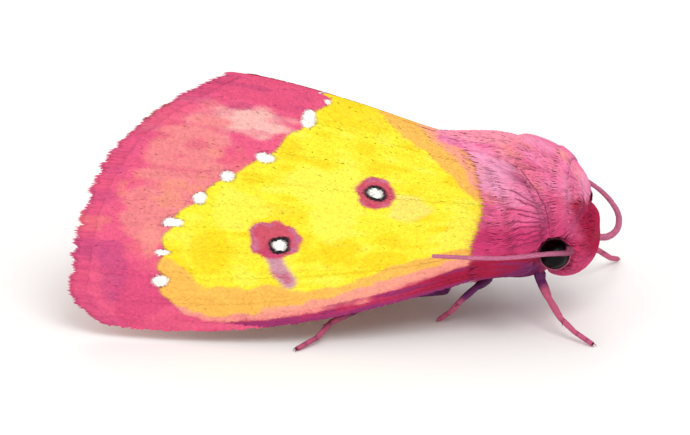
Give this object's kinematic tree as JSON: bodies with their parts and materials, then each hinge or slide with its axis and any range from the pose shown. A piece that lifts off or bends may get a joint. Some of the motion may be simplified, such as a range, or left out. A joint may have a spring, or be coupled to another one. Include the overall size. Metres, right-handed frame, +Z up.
{
  "type": "pink star moth",
  "caption": "Still life-size model of a pink and yellow noctuid moth at rest, its wings folded like a roof over the body, standing on its feet.",
  "frame": {"origin": "middle of the moth's box in x and y, at the level of its soles", "axes": "+X towards the head, +Y to the moth's left, +Z up"},
  "size_m": [0.0152, 0.0087, 0.0068],
  "materials": {
    "wing_scales_yellow": "matte scales",
    "hindwing_scales": "satin scales",
    "body_hair": "matte hair scales",
    "head_hair": "matte hair scales",
    "abdomen_scales": "matte scales",
    "eye": "glossy",
    "feeler": "matte scales",
    "leg_scales": "matte scales"
  },
  "bodies": {
    "root": {"head": "head_hair", "eye_right": "eye", "eye_left": "eye", "antenna_right": "feeler", "antenna_left": "feeler", "thorax": "body_hair", "abdomen": "abdomen_scales", "forewing_right": "wing_scales_yellow", "forewing_left": "wing_scales_yellow", "hindwing_right": "hindwing_scales", "hindwing_left": "hindwing_scales", "foreleg_right": "leg_scales", "foreleg_left": "leg_scales", "midleg_right": "leg_scales", "midleg_left": "leg_scales", "hindleg_right": "leg_scales", "hindleg_left": "leg_scales"}
  },
  "joints": []
}
